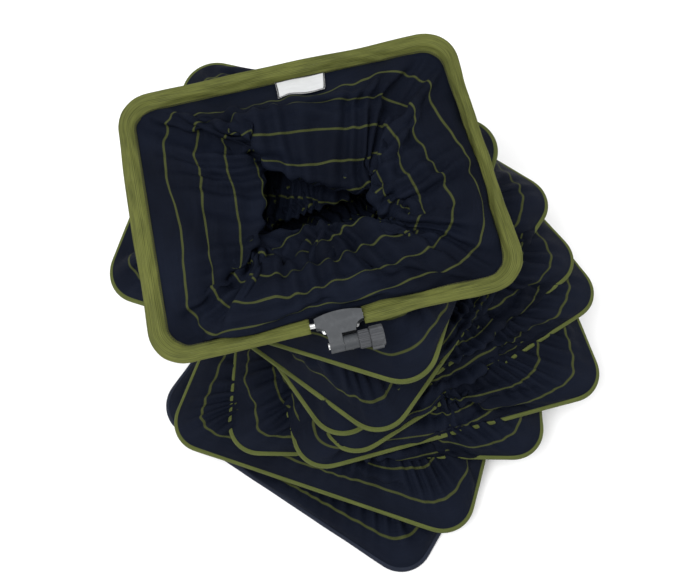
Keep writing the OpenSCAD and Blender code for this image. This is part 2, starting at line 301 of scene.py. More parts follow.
def wall_edges(k):
    """The lower and upper edge of wall k, sewn to the hoops' bindings, or inside the sleeve."""
    share = np.arange(AROUND) / AROUND
    low, _ = way(hoops[k - 1], share, lift=EDGE)
    high, outward = way(hoops[k], share, lift=-EDGE if k < LAST else -0.001)
    if k == LAST:
        lean = lean_at(share)[:, None]
        high -= FIN * (outward * np.cos(lean) + hoops[k]["axes"][2] * np.sin(lean))
    return low, high


def pinched_tube(k, rest, low, pinch):
    """The straight tube drawn towards its axis by pinch * sin(pi * v), with a few long waves."""
    rng = np.random.default_rng(k)
    v = np.linspace(0, 1, RISE)
    axis = low.mean(0) + hoops[k - 1]["axes"][2] * (WALL * v)[:, None]
    bulge = np.sin(np.pi * v)[:, None, None]
    tube = rest + (axis[:, None] - rest) * pinch * bulge
    angle = np.arange(AROUND) / AROUND * 2 * np.pi
    waves = sum(a * np.sin(m * angle + rng.uniform(0, 6.28)) for m, a in WAVES)
    spoke = tube - axis[:, None]
    spoke /= np.linalg.norm(spoke, axis=2, keepdims=True)
    return tube + spoke * waves[None, :, None] * bulge


# %% [markdown]
# ## The solver's pieces
# Netting is light and limp, so the cloth gets little mass and almost no bending stiffness.
# Two things act on it besides its weight: the walls and floor it lands on, and a steady pull
# inwards. The pull is not a real force. It is only there to send the folds inwards.

# %% One wall's simulation
STIFF = {"tension": 20, "compression": 20, "shear": 5, "bending": 0.02}
DAMPING = {"tension": 5, "compression": 5, "shear": 5, "bending": 0.5}


def pinned_cloth(obj, rest_key):
    """Adds a light, limp cloth whose first and last rows are held."""
    pins = obj.vertex_groups.new(name="pins")
    last_row = range((RISE - 1) * AROUND, RISE * AROUND)
    pins.add([*range(AROUND), *last_row], 1.0, "ADD")
    cloth = obj.modifiers.new("cloth", "CLOTH")
    s = cloth.settings
    s.rest_shape_key, s.vertex_group_mass = rest_key, pins.name
    s.quality, s.mass, s.air_damping = 4, 0.0006, 1.0
    for name in STIFF:
        setattr(s, name + "_stiffness", STIFF[name])
        setattr(s, name + "_damping", DAMPING[name])
    c = cloth.collision_settings
    c.distance_min = c.self_distance_min = THREAD_GAP
    c.use_self_collision, c.self_friction, c.collision_quality = True, 2, 2
    cloth.point_cache.frame_end = LOWER_FRAMES + SETTLE_FRAMES


def lie_on(points):
    """A hidden copy of a wall already let down, or a floor, that the next one lies on."""
    if points is None:
        square = np.array([[-1, -1], [1, -1], [1, 1], [-1, 1]]) * 1.5
        obj = link_mesh("under", np.c_[square, np.full(4, 0.004)], np.array([[0, 1, 2, 3]]))
    else:
        obj = link_mesh("under", points.reshape(-1, 3), cloth_faces)
    obj.modifiers.new("collision", "COLLISION")
    obj.collision.thickness_outer, obj.collision.thickness_inner = 0.003, 0.02
    obj.collision.cloth_friction, obj.collision.use_culling = 5, False
    return obj


def inward_pull(centre, strength):
    """A steady force towards the middle of the pile, which sends the folds inwards."""
    obj = bpy.data.objects.new("pull", None)
    scene.collection.objects.link(obj)
    obj.location = centre
    bpy.context.view_layer.objects.active = obj
    obj.select_set(True)
    bpy.ops.object.forcefield_toggle()
    obj.field.type, obj.field.strength = "FORCE", -strength
    obj.field.falloff_power = obj.field.noise = obj.field.flow = 0
    return obj


cloth_faces = grid_faces(RISE, AROUND, False, True)[0].reshape(-1, 4)
print("one wall has", len(cloth_faces), "faces while it falls")

# %% Let down all eight
def let_down(k, under):
    """Points[row, column] of wall k, once its top edge has come down to its hoop."""
    low, high = wall_edges(k)
    v = np.linspace(0, 1, RISE)[:, None, None]
    rest = low[None] + hoops[k - 1]["axes"][2] * WALL * v
    start = pinched_tube(k, rest, low, PINCH[k])
    end = start.copy()
    end[-1] = high
    obj = link_mesh(f"falling_{k}", rest.reshape(-1, 3), cloth_faces)
    keys = [obj.shape_key_add(name=n) for n in ("straight", "start", "down")]
    for key, points in zip(keys[1:], (start, end)):
        key.data.foreach_set("co", points.astype(np.float32).ravel())
    keys[1].value, keys[2].relative_key = 1.0, keys[1]
    for value, when in ((0.0, 1), (1.0, LOWER_FRAMES)):
        keys[2].value = value
        keys[2].keyframe_insert("value", frame=when)
    for curve in obj.data.shape_keys.animation_data.action.fcurves:
        for point in curve.keyframe_points:
            point.interpolation = "LINEAR"
    pinned_cloth(obj, keys[0])
    helpers = [lie_on(points) for points in under]
    if PULL[k]:
        helpers.append(inward_pull((low.mean(0) + high.mean(0)) / 2, PULL[k]))
    for at in range(1, LOWER_FRAMES + SETTLE_FRAMES + 1):
        scene.frame_set(at)
    shown = obj.evaluated_get(bpy.context.evaluated_depsgraph_get())
    flat = np.empty(RISE * AROUND * 3, np.float32)
    shown.data.vertices.foreach_get("co", flat)
    for used in [obj, *helpers]:
        bpy.data.objects.remove(used)
    return flat.reshape(RISE, AROUND, 3).astype(float)


walls = {}
for k in range(1, LAST + 1):
    walls[k] = let_down(k, [walls.get(j) for j in range(max(0, k - 2), k) if j or k == 1])
scene.frame_set(1)

# %% [markdown]
# ## Bringing the walls back between their hoops
# The solver's result is a start, not the end. Some folds have slipped past the bindings, and
# the lower walls stand higher than the hoops above them. First each point is brought back
# inside the outline that its two hoops make together.

# %% Hold in
FINER = 3
OUTSIDE = {k: (0.002, -0.006) for k in range(1, LAST)} | {LAST: (0.002, 0.006)}
ROOM = {k: (0.012, 0.0) for k in range(1, LAST - 1)}
ROOM |= {LAST - 1: (0.004, 0.2), LAST: (0.0, 0.32)}
KEPT = {k: 0.13 for k in range(1, LAST - 1)} | {LAST - 1: 0.2, LAST: 0.3}
SOFT = 0.004


def hold_in(k, points):
    """Moves a point back along any of 72 directions in which it passes both hoops' outlines.

    The limit is a little outside them at the sewn edges, and a little inside halfway up.
    """
    share = np.linspace(0, 1, 160, endpoint=False)
    edges = np.vstack([way(hoops[j], share)[0] for j in (k - 1, k)])[:, :2]
    angle = np.linspace(0, 2 * np.pi, 72, endpoint=False)
    directions = np.stack([np.cos(angle), np.sin(angle)])
    at_edge, halfway = OUTSIDE[k]
    belly = np.sin(np.pi * np.linspace(0, 1, len(points)))[:, None] ** 0.5
    reach = at_edge + (halfway - at_edge) * belly
    points = points.copy()
    for direction, limit in zip(directions.T, (edges @ directions).max(0)):
        excess = np.maximum(points[..., :2] @ direction - limit - reach, 0)
        points[..., :2] -= excess[..., None] * direction
    return points


# %% [markdown]
# ## Pressing the walls flat
# The hoops above lie on each wall and press it flat, which the one-by-one simulation leaves
# out. A soft ceiling stands in for them. It makes the surface smaller, so it holds less cloth
# than was cut, and the gathers further down put most of that back.

# %% Press down
def hoop_place(j, points):
    """How far points are inside hoop j's outline, and the height of its plane there."""
    hoop = hoops[j]
    local = np.abs((points - hoop["middle"]) @ hoop["axes"].T)[..., :2]
    inset = (hoop["size"] / 2 - local).min(-1)
    normal = hoop["axes"][2]
    level = hoop["middle"][2] - (points - hoop["middle"])[..., :2] @ normal[:2] / normal[2]
    return inset, level


def press_down(k, points):
    """Lowers what stands above the hoops to a tenth of its height over a ceiling.

    Inside the upper hoop the ceiling is its plane, plus some room in the middle, less a
    slope inwards where the net is open. Between the two hoops it is the straight way from
    one to the other. The soft step is the logarithm of one plus an exponential.
    """
    inset_low, level_low = hoop_place(k - 1, points)
    inset_high, level_high = hoop_place(k, points)
    room, slope = ROOM[k]
    inner = np.clip(inset_high / 0.12, 0, 1)
    inside = level_high - EDGE + room * inner**2 * (3 - 2 * inner)
    inside = inside - slope * np.maximum(inset_high, 0)
    beyond = np.maximum(-inset_high, 0)
    near = np.clip(inset_low, 0, None)
    across = near / np.maximum(near + beyond, 1e-6)
    between = level_low + EDGE + (level_high - level_low - 2 * EDGE) * across
    between += 0.006 * np.sin(np.pi * across)
    ceiling = np.where(inset_high > 0, inside, np.minimum(between, level_high - EDGE))
    over = SOFT * np.logaddexp(0, (points[..., 2] - ceiling) / SOFT)
    held = np.sin(np.pi * np.linspace(0, 1, len(points)))[:, None] ** 0.3
    points = points.copy()
    points[..., 2] -= (1 - KEPT[k]) * over * held
    points[..., 2] = np.maximum(points[..., 2], 0.002)
    return points


# %% [markdown]
# ## Smooth surfaces and small creases
# The solver's grid is coarse, one point every 14 mm. It is read as a B-spline surface three
# times as fine, and creases are pressed into it, as thin netting has after being packed.

# %% Smooth and crease
def spline_weights(count, parts, closed):
    """Rows of cubic B-spline weights: each new point blends four neighbours of the old grid.

    A closed direction wraps round. An open one is first given one extra point at each end,
    twice the last less the one before it, which makes the surface end exactly on its edge.
    """
    steps = count * parts if closed else (count - 1) * parts + 1
    at = np.arange(steps) / parts
    base = np.minimum(at.astype(int), count - 1 if closed else count - 2)
    t = at - base
    parts_of_four = np.stack(
        [(1 - t) ** 3, 3 * t**3 - 6 * t**2 + 4, -3 * t**3 + 3 * t**2 + 3 * t + 1, t**3]
    ) / 6
    size = count if closed else count + 2
    weights = np.zeros((steps, size))
    for offset, part in enumerate(parts_of_four):
        column = (base + offset - 1) % count if closed else base + offset
        np.add.at(weights, (np.arange(steps), column), part)
    if closed:
        return weights
    ends = np.zeros((size, count))
    ends[1:-1] = np.eye(count)
    ends[0, :2], ends[-1, -2:] = (2, -1), (-1, 2)
    return weights @ ends


def refine(points):
    """The B-spline surface of a wall's grid, with FINER steps for each old one."""
    up = spline_weights(points.shape[0], FINER, False)
    round_ = spline_weights(points.shape[1], FINER, True)
    return np.einsum("ar,rcd,bc->abd", up, points, round_, optimize=True)


def grid_normals(points, closed=True):
    """Unit normals of a grid: the cross product of its two directions of travel."""
    if closed:
        along = np.roll(points, -1, 1) - np.roll(points, 1, 1)
    else:
        along = np.gradient(points, axis=1)
    normal = np.cross(along, np.gradient(points, axis=0))
    return normal / np.maximum(np.linalg.norm(normal, axis=-1, keepdims=True), 1e-12)


CREASE_LINES, CREASE_DEEP = 9, 0.0016


def creases(k, rows, columns):
    """Sharp-backed ripples: the sum of 1 - |sin| along slanting lines, fading at both edges."""
    rng = np.random.default_rng(100 + k)
    u = np.arange(columns) / columns * way_length(hoops[1])
    v = np.linspace(0, WALL, rows)[:, None]
    height = np.zeros((rows, columns))
    for _ in range(CREASE_LINES):
        turns = rng.integers(5, 22)
        slant, phase = rng.uniform(-14, 14), rng.uniform(0, 6.28, 2)
        line = turns * np.pi * u / way_length(hoops[1]) + slant * v + phase[0]
        patch = np.clip(np.sin(2 * np.pi * u / way_length(hoops[1]) + 9 * v + phase[1]), 0, 1)
        height += (1 - np.abs(np.sin(line))) ** 4 * patch
    return CREASE_DEEP * height * np.sin(np.pi * v / WALL)


print("creases are made of", CREASE_LINES, "lines")

# %% [markdown]
# ## Gathers
# A hoop is as long round as the cloth, but the waist of a fold is shorter, so the cloth there
# gathers into small waves. Their depth comes from how far the surface is squeezed. Two scale
# factors, set against the look of a real net, give the top wall broader folds.

# %% Gathers
GATHER_EVERY = {"round": 0.0286, "up": 0.048}
GATHER_DEEP = {"round": 0.0050, "up": 0.0048}
BROAD = {k: 1 for k in range(1, LAST)} | {LAST: 1.5}
LOOSE = {k: 1 for k in range(1, LAST - 1)} | {LAST - 1: 0.8, LAST: 0.9}


def blurred(values, rows, columns):
    """A box blur over neighbouring rows and columns; columns wrap round."""
    values = sum(np.roll(values, s, 1) for s in range(-columns, columns + 1)) / (2 * columns + 1)
    padded = np.pad(values, ((rows, rows), (0, 0)), mode="edge")
    return sum(padded[s : s + len(values)] for s in range(2 * rows + 1)) / (2 * rows + 1)


def gathers(k, points):
    """Waves that take up the cloth wherever the surface is shorter than what was cut.

    Where a direction is squeezed to a share s of its length, a wave of depth
    spacing / pi * sqrt(1 / s - 1) has the missing length in it. Waves fade at both edges.
    """
    rows, columns = points.shape[:2]
    share, v = np.arange(columns) / columns, np.linspace(0, 1, rows)[:, None]
    length = way_length(hoops[1])
    sideways = np.linalg.norm(np.roll(points, -1, 1) - np.roll(points, 1, 1), axis=-1)
    upwards = np.linalg.norm(np.gradient(points, axis=0), axis=-1)
    squeezed = {"round": sideways / (2 * length / columns), "up": upwards / (WALL / (rows - 1))}
    rng = np.random.default_rng(200 + k)
    a, b, c, d = rng.uniform(0, 2 * np.pi, 4)
    turn = 2 * np.pi * share
    drift = 1.6 * np.sin(7 * turn + 4 * v + a) + 1.3 * np.sin(11 * turn - 5 * v + b)
    phase = {
        "round": round(length / GATHER_EVERY["round"] / BROAD[k]) * turn + drift,
        "up": 2 * np.pi * v * WALL / GATHER_EVERY["up"] + 1.7 * np.sin(3 * turn + c) + 0.5 * drift,
    }
    height = np.zeros((rows, columns))
    for way_, squeeze in squeezed.items():
        squeeze = np.clip(blurred(squeeze, 4, 7), 0.3, 1)
        depth = GATHER_EVERY[way_] / np.pi * np.sqrt(1 / squeeze - 1)
        height += np.minimum(depth, GATHER_DEEP[way_]) * np.sin(phase[way_])
    fade = np.clip(v / 0.12, 0, 1) * np.clip((1 - v) / (0.2 if k == LAST else 0.12), 0, 1)
    return LOOSE[k] * height * fade


print("gathers every", GATHER_EVERY["round"], "m round a wall, unless broader")

# %% [markdown]
# ## The slack under the label
# At the back of the mouth the top wall doesn't drop straight down. It is slack, and slopes
# inwards under the label, so a smooth bulge is added there.

# %% Sag and finish
SAG, SAG_WIDE, SAG_TALL = 0.020, 0.09, 0.22
label_corners = (node_points("label") - hoops[LAST]["middle"]) @ hoops[LAST]["axes"].T
label_middle = (label_corners[:, 0].min() + label_corners[:, 0].max()) / 2


def sagged(points):
    """The top wall moved inwards under the label, by a bell round the way and a sine up it."""
    rows, columns = points.shape[:2]
    share, v = np.arange(columns) / columns, np.linspace(0, 1, rows)[:, None]
    _, outward = way(hoops[LAST], share)
    apart = np.mod(share - back_share(hoops[LAST], label_middle) + 0.5, 1) - 0.5
    drop = np.sin(np.pi * np.clip((1 - v) / SAG_TALL, 0, 1))
    sag = SAG * np.exp(-((apart / SAG_WIDE) ** 2)) * drop
    return points - sag[..., None] * outward


pressed, fine = {}, {}
for k in range(1, LAST + 1):
    pressed[k] = refine(press_down(k, hold_in(k, walls[k])))
pressed[LAST] = sagged(pressed[LAST])
for k in range(1, LAST + 1):
    smooth = pressed[k]
    lift = gathers(k, smooth) + creases(k, *smooth.shape[:2])
    fine[k] = smooth + grid_normals(smooth) * lift[..., None]
print("each wall now has", fine[1].shape[0] * fine[1].shape[1], "points")

# %% [markdown]
# ## Helpers for materials
# A material is a small network of nodes. Building one by hand takes three moves again and
# again: make a group with named sockets, do a sum, and mix two colours. Each gets a short
# helper here, so the cells that follow read like the finish they describe.

# %% Node helpers
SOCKET = {"f": "NodeSocketFloat", "v": "NodeSocketVector", "c": "NodeSocketColor"}


class Network:
    """A node tree with short ways to add a node, a sum, a colour mix or a group."""

    def __init__(self, tree):
        self.tree = tree

    def put(self, socket, value):
        """Links value to the socket if it is an output, or sets it if it is plain."""
        if isinstance(value, bpy.types.NodeSocket):
            self.tree.links.new(value, socket)
        else:
            socket.default_value = value

    def node(self, kind, inputs=None, **settings):
        """Adds a node, with its settings and its inputs by name or number."""
        made = self.tree.nodes.new(kind)
        for name, value in settings.items():
            setattr(made, name, value)
        for name, value in (inputs or {}).items():
            self.put(made.inputs[name], value)
        return made

    def sum(self, operation, *values):
        """One Math node's result."""
        made = self.node("ShaderNodeMath", dict(enumerate(values)), operation=operation)
        return made.outputs[0]

    def mix(self, share, first, second, blend="MIX"):
        """A mix of two colours."""
        made = self.node("ShaderNodeMix", data_type="RGBA", blend_type=blend)
        for number, value in ((0, share), (6, first), (7, second)):
            self.put(made.inputs[number], value)
        return made.outputs[2]

    def noise(self, vector, scale, detail=3.0, roughness=0.5):
        """Soft noise between about 0.3 and 0.7."""
        inputs = {"Vector": vector, "Scale": scale, "Detail": detail, "Roughness": roughness}
        return self.node("ShaderNodeTexNoise", inputs).outputs[0]

    def stretch(self, vector, scale):
        """The vector multiplied by scale along each axis."""
        made = self.node("ShaderNodeVectorMath", {0: vector, 1: scale}, operation="MULTIPLY")
        return made.outputs[0]

    def range(self, value, low, high, to_low=0.0, to_high=1.0):
        """The value moved from one range to another and held inside it."""
        inputs = {0: value, 1: low, 2: high, 3: to_low, 4: to_high}
        return self.node("ShaderNodeMapRange", inputs, clamp=True).outputs[0]


def new_group(name, inputs, outputs):
    """An empty node group with typed sockets, given as {name: (type letter, value)}."""
    tree = bpy.data.node_groups.new(name, "ShaderNodeTree")
    for label, (kind, value) in inputs.items():
        socket = tree.interface.new_socket(label, in_out="INPUT", socket_type=SOCKET[kind])
        socket.default_value = value
    for label, kind in outputs.items():
        tree.interface.new_socket(label, in_out="OUTPUT", socket_type=SOCKET[kind])
    network = Network(tree)
    ends = network.node("NodeGroupInput").outputs, network.node("NodeGroupOutput").inputs
    return network, *ends


def place(network, group, **inputs):
    """A group node in a material, its outputs by name; Tone_Size means the socket Tone Size."""
    made = network.node("ShaderNodeGroup", node_tree=group.tree)
    for name, value in inputs.items():
        network.put(made.inputs[name.replace("_", " ")], value)
    return made.outputs


def new_material(name, colour, **fixed):
    """A material with one Principled shader, and the plain values set on its own sockets."""
    material = bpy.data.materials.new(name)
    material.use_nodes = True
    material.diffuse_color = (*colour, 1)
    network = Network(material.node_tree)
    shader = material.node_tree.nodes["Principled BSDF"]
    for label, value in fixed.items():
        shader.inputs[label.replace("_", " ")].default_value = value
    return material, network, shader


def bump(network, shader, height, depth):
    """Feeds a height, in metres once multiplied by depth, to the shader's normal."""
    made = network.node("ShaderNodeBump", {"Height": height, "Distance": depth})
    network.put(shader.inputs["Normal"], made.outputs[0])


print("helpers ready")

# %% [markdown]
# ## Shared effects
# Five effects turn up in more than one finish. Tone is the slow drift of colour that any
# used thing has. Weave is the over and under of threads. Ribs are the lines along a tape.
# Moulded grain is the fine spark-eroded skin of plastic, and drawn lines are the marks that
# a die leaves along metal. Each is a group, built once and placed with its own numbers.

# %% Shared effects
tone, at, out = new_group(
    "tone", {"Vector": ("v", (0, 0, 0)), "Size": ("f", 0.1)}, {"Tone": "f", "Dust": "f"}
)
scale = tone.sum("DIVIDE", 1.0, at["Size"])
tone.put(out["Tone"], tone.range(tone.noise(at["Vector"], scale, 4.0), 0.3, 0.7))
specks = tone.noise(at["Vector"], tone.sum("MULTIPLY", scale, 40.0), 2.0, 0.7)
tone.put(out["Dust"], tone.range(specks, 0.62, 0.75))

weave, at, out = new_group(
    "weave", {"UV": ("v", (0, 0, 0)), "Pitch": ("f", 0.001)}, {"Height": "f", "Streak": "f"}
)
parts = weave.node("ShaderNodeSeparateXYZ", {0: at["UV"]}).outputs
turns = weave.sum("DIVIDE", 2 * math.pi, at["Pitch"])
waves = [weave.sum("SINE", weave.sum("MULTIPLY", parts[i], turns)) for i in (0, 1)]
weave.put(out["Height"], weave.sum("MULTIPLY_ADD", weave.sum("MULTIPLY", *waves), 0.5, 0.5))
threads = weave.stretch(at["UV"], (25.0, 900.0, 1.0))
weave.put(out["Streak"], weave.range(weave.noise(threads, 1.0, 3.0, 0.6), 0.3, 0.7))

ribs, at, out = new_group(
    "ribs",
    {"UV": ("v", (0, 0, 0)), "Pitch": ("f", 0.001), "Twill": ("f", 0.002)},
    {"Height": "f", "Rib": "f"},
)
parts = ribs.node("ShaderNodeSeparateXYZ", {0: at["UV"]}).outputs
rib = ribs.sum("SINE", ribs.sum("DIVIDE", ribs.sum("MULTIPLY", parts[1], 2 * math.pi), at["Pitch"]))
rib = ribs.sum("MULTIPLY_ADD", rib, 0.5, 0.5)
slant = ribs.sum("ADD", parts[0], ribs.sum("MULTIPLY", parts[1], 0.8))
twill = ribs.sum("SINE", ribs.sum("DIVIDE", ribs.sum("MULTIPLY", slant, 2 * math.pi), at["Twill"]))
ribs.put(out["Rib"], rib)
ribs.put(out["Height"], ribs.sum("MULTIPLY_ADD", ribs.sum("MULTIPLY", twill, rib), 0.3, rib))

grain, at, out = new_group(
    "moulded grain", {"Vector": ("v", (0, 0, 0))}, {"Height": "f", "Rub": "f"}
)
fine_grain = grain.noise(at["Vector"], 2600.0, 2.0, 0.6)
coarse = grain.noise(at["Vector"], 700.0, 2.0)
grain.put(out["Height"], grain.sum("MULTIPLY_ADD", coarse, 0.5, fine_grain))
grain.put(out["Rub"], grain.range(grain.noise(at["Vector"], 90.0, 5.0, 0.65), 0.5, 0.72))

drawn, at, out = new_group(
    "drawn lines", {"Vector": ("v", (0, 0, 0)), "Across": ("v", (900, 900, 20))}, {"Line": "f"}
)
lines = drawn.node("ShaderNodeVectorMath", {0: at["Vector"], 1: at["Across"]}, operation="MULTIPLY")
drawn.put(out["Line"], drawn.range(drawn.noise(lines.outputs[0], 1.0, 4.0, 0.6), 0.35, 0.65))
print("node groups:", sorted(g.name for g in bpy.data.node_groups))

# %% [markdown]
# ## Striped netting
# The netting is a fine, soft nylon mesh, navy blue so dark that it reads as black in the
# folds, with thin olive lines knitted in every 45 mm. The lines must follow the cloth
# through every fold, so they are drawn from the cloth's own UV map, in metres. The mesh
# hardly shines, so its sheen and its specular reflection are both kept very low.

# %% Netting material
NAVY = (0.0024, 0.0036, 0.0080, 1)
NAVY_WORN = (0.0055, 0.0080, 0.0165, 1)
LINE_OLIVE = (0.050, 0.058, 0.018, 1)
LINE_EVERY, LINE_WIDE = 0.0455, 0.0032


def striped_net(name, first_line):
    """Navy mesh; a line shows near every multiple of its spacing, read as a ping-pong wave."""
    material, net, shader = new_material(
        name,
        NAVY[:3],
        Sheen_Weight=0.006,
        Sheen_Roughness=0.35,
        Specular_IOR_Level=0.05,
        Sheen_Tint=(0.55, 0.65, 1.0, 1.0),
    )
    uv = net.node("ShaderNodeUVMap", uv_map="cloth").outputs[0]
    parts = net.node("ShaderNodeSeparateXYZ", {0: uv}).outputs
    wander = net.sum("MULTIPLY", net.noise(net.stretch(uv, (9.0, 2.0, 1.0)), 1.0, 2.0), 0.003)
    at = net.sum("ADD", net.sum("ADD", parts[1], first_line), wander)
    off = net.sum("PINGPONG", at, LINE_EVERY / 2)
    line = net.range(off, LINE_WIDE / 2 - 0.0004, LINE_WIDE / 2 + 0.0004, 1.0, 0.0)
    drift = place(net, tone, Vector=uv, Size=0.16)
    cloth = place(net, weave, UV=uv, Pitch=0.0013)
    base = net.mix(drift["Tone"], NAVY, NAVY_WORN)
    base = net.mix(net.sum("MULTIPLY", line, 0.92), base, LINE_OLIVE)
    shade = net.range(cloth["Streak"], 0.0, 1.0, 0.78, 1.12)
    shade = net.sum("MULTIPLY", shade, net.range(cloth["Height"], 0.0, 1.0, 0.85, 1.1))
    grey = net.node("ShaderNodeCombineColor", {0: shade, 1: shade, 2: shade}).outputs[0]
    base = net.mix(1.0, base, grey, "MULTIPLY")
    base = net.mix(net.sum("MULTIPLY", drift["Dust"], 0.006), base, (0.3, 0.3, 0.28, 1))
    net.put(shader.inputs["Base Color"], base)
    net.put(shader.inputs["Roughness"], net.range(cloth["Height"], 0.0, 1.0, 0.72, 0.56))
    height = net.sum("MULTIPLY_ADD", line, 0.35, cloth["Height"])
    bump(net, shader, height, 0.00025)
    return material


netting = striped_net("netting", 0.012)
floor_netting = striped_net("base_netting", 0.02)
print("lines every", LINE_EVERY, "m,", LINE_WIDE, "m wide")

# %% [markdown]
# ## Tapes, sleeve, thread and label
# The bindings are a folded woven tape with fine ribs along it. The mouth's sleeve is an
# open, springy mesh in a livelier green, with long dark streaks where threads bunch up.
# The stitching is black thread, and the label is white satin, left blank. One function
# makes all the ribbed cloths, because only their colours and rib spacing differ.

# %% Ribbed cloths
def ribbed_cloth(name, dark, light, pitch, twill, sheen=0.04, streaks=0.5):
    """Ribs from the UV map's second direction, a slanting twill over them, and slow tone."""
    material, net, shader = new_material(
        name, light[:3], Sheen_Weight=sheen, Sheen_Roughness=0.4, Specular_IOR_Level=0.15
    )
    uv = net.node("ShaderNodeUVMap", uv_map="cloth").outputs[0]
    tape = place(net, ribs, UV=uv, Pitch=pitch, Twill=twill)
    drift = place(net, tone, Vector=uv, Size=0.07)
    threads = place(net, weave, UV=uv, Pitch=pitch)
    share = net.sum("MULTIPLY", tape["Rib"], 0.35)
    share = net.sum("MULTIPLY_ADD", drift["Tone"], 0.3, share)
    share = net.sum("MULTIPLY_ADD", threads["Streak"], streaks, share)
    base = net.mix(net.range(share, 0.1, 0.95), dark, light)
    base = net.mix(net.sum("MULTIPLY", drift["Dust"], 0.08), base, (0.4, 0.4, 0.36, 1))
    net.put(shader.inputs["Base Color"], base)
    net.put(shader.inputs["Roughness"], net.range(tape["Rib"], 0.0, 1.0, 0.8, 0.62))
    bump(net, shader, tape["Height"], 0.0002)
    return material


THREAD_PITCH = {"pitch": 0.0004, "twill": 0.0006}
TAPE_PITCH = {"pitch": 0.0011, "twill": 0.0022}
olive_tape = ribbed_cloth(
    "olive_tape", (0.036, 0.046, 0.010, 1), (0.095, 0.112, 0.026, 1), **TAPE_PITCH
)
navy_tape = ribbed_cloth(
    "navy_tape", (0.005, 0.007, 0.014, 1), (0.015, 0.02, 0.036, 1), **TAPE_PITCH
)
sleeve_mesh = ribbed_cloth(
    "sleeve_mesh", (0.026, 0.031, 0.007, 1), (0.108, 0.118, 0.027, 1), 0.0013, 0.0019, 0.03, 0.7
)
thread_black = ribbed_cloth(
    "black_thread", (0.006, 0.006, 0.008, 1), (0.02, 0.02, 0.024, 1), **THREAD_PITCH
)
thread_olive = ribbed_cloth(
    "olive_thread", (0.09, 0.11, 0.03, 1), (0.2, 0.23, 0.07, 1), **THREAD_PITCH
)
label_satin = ribbed_cloth(
    "label_satin", (0.5, 0.51, 0.52, 1), (0.74, 0.75, 0.75, 1), 0.0006, 0.0009, 0.05, 0.4
)
print("cloths:", [m.name for m in bpy.data.materials])

# %% [markdown]
# ## Plastic and metals
# The bracket is glass-filled nylon: dark grey, satin, with a fine grain and slightly
# paler rubbed patches. The rod is bright drawn steel, the stud is brass, and the hoops
# hidden in their bindings are pultruded glass fibre. These read Object coordinates, in
# metres, so the grain keeps its size on every piece.

# %% Hard finishes
def moulded(name, dark, light, rough):
    """Plastic: rubbed patches are lighter and smoother, and two noises make the grain."""
    material, net, shader = new_material(name, dark[:3], Specular_IOR_Level=0.42)
    spot = net.node("ShaderNodeTexCoord").outputs["Object"]
    skin = place(net, grain, Vector=spot)
    drift = place(net, tone, Vector=spot, Size=0.03)
    share = net.sum("MULTIPLY_ADD", skin["Rub"], 0.6, net.sum("MULTIPLY", drift["Tone"], 0.4))
    base = net.mix(share, dark, light)
    base = net.mix(net.sum("MULTIPLY", drift["Dust"], 0.12), base, (0.25, 0.25, 0.24, 1))
    net.put(shader.inputs["Base Color"], base)
    net.put(shader.inputs["Roughness"], net.range(skin["Rub"], 0.0, 1.0, rough, rough - 0.12))
    bump(net, shader, skin["Height"], 0.00006)
    return material


def drawn_metal(name, dark, light, across, rough=0.24):
    """Metal: lines left by the die change its shade and its roughness along the piece."""
    material, net, shader = new_material(name, light[:3], Metallic=1.0)
    spot = net.node("ShaderNodeTexCoord").outputs["Object"]
    line = place(net, drawn, Vector=spot, Across=across)["Line"]
    drift = place(net, tone, Vector=spot, Size=0.02)
    share = net.sum("MULTIPLY_ADD", drift["Tone"], 0.5, net.sum("MULTIPLY", line, 0.5))
    base = net.mix(share, dark, light)
    net.put(shader.inputs["Base Color"], base)
    net.put(shader.inputs["Roughness"], net.range(line, 0.0, 1.0, rough, rough + 0.14))
    bump(net, shader, line, 0.00002)
    return material


plastic = moulded("bracket_nylon", (0.024, 0.027, 0.031, 1), (0.052, 0.056, 0.062, 1), 0.52)
grip_plastic = moulded("grip_nylon", (0.03, 0.032, 0.037, 1), (0.06, 0.064, 0.07, 1), 0.56)
steel = drawn_metal("bright_steel", (0.5, 0.51, 0.52, 1), (0.8, 0.8, 0.79, 1), (30, 900, 900))
spring_steel = drawn_metal(
    "spring_steel", (0.4, 0.4, 0.42, 1), (0.6, 0.6, 0.6, 1), (900, 900, 900), 0.3
)
brass = drawn_metal("brass", (0.5, 0.33, 0.1, 1), (0.78, 0.57, 0.22, 1), (600, 600, 40), 0.22)
rod_fibre, net, shader = new_material("rod_fibre", (0.03, 0.03, 0.032), Coat_Roughness=0.2)
spot = net.node("ShaderNodeTexCoord").outputs["Object"]
strand = place(net, drawn, Vector=spot, Across=(700, 700, 700))["Line"]
base = net.mix(strand, (0.018, 0.018, 0.02, 1), (0.07, 0.07, 0.066, 1))
net.put(shader.inputs["Base Color"], base)
net.put(shader.inputs["Roughness"], net.range(strand, 0.0, 1.0, 0.3, 0.5))
print("finishes:", len(bpy.data.materials))

# %% [markdown]
# ## Hang the walls
# A wall belongs to two hoops at once. Lifting the net pays it out, so its lower edge must
# stay with the hoop below and its upper edge go with the hoop above. Here each wall is made
# from its finished grid, closed round, with the UV map in metres, and takes the place of its
# CAD node; it is tied to neither hoop's body, so it stays where it lies.

# %% Walls
def span_joint(obj):
    """Bakes obj's place into its mesh; it is not tied to either hoop."""
    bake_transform(obj)


for k in range(1, LAST + 1):
    obj = grid_mesh(f"netting_{k}", fine[k], (way_length(hoops[k]), WALL), wrap_columns=True)
    wear(obj, None, netting, "navy_mesh", f"net_{k}")
    span_joint(obj)

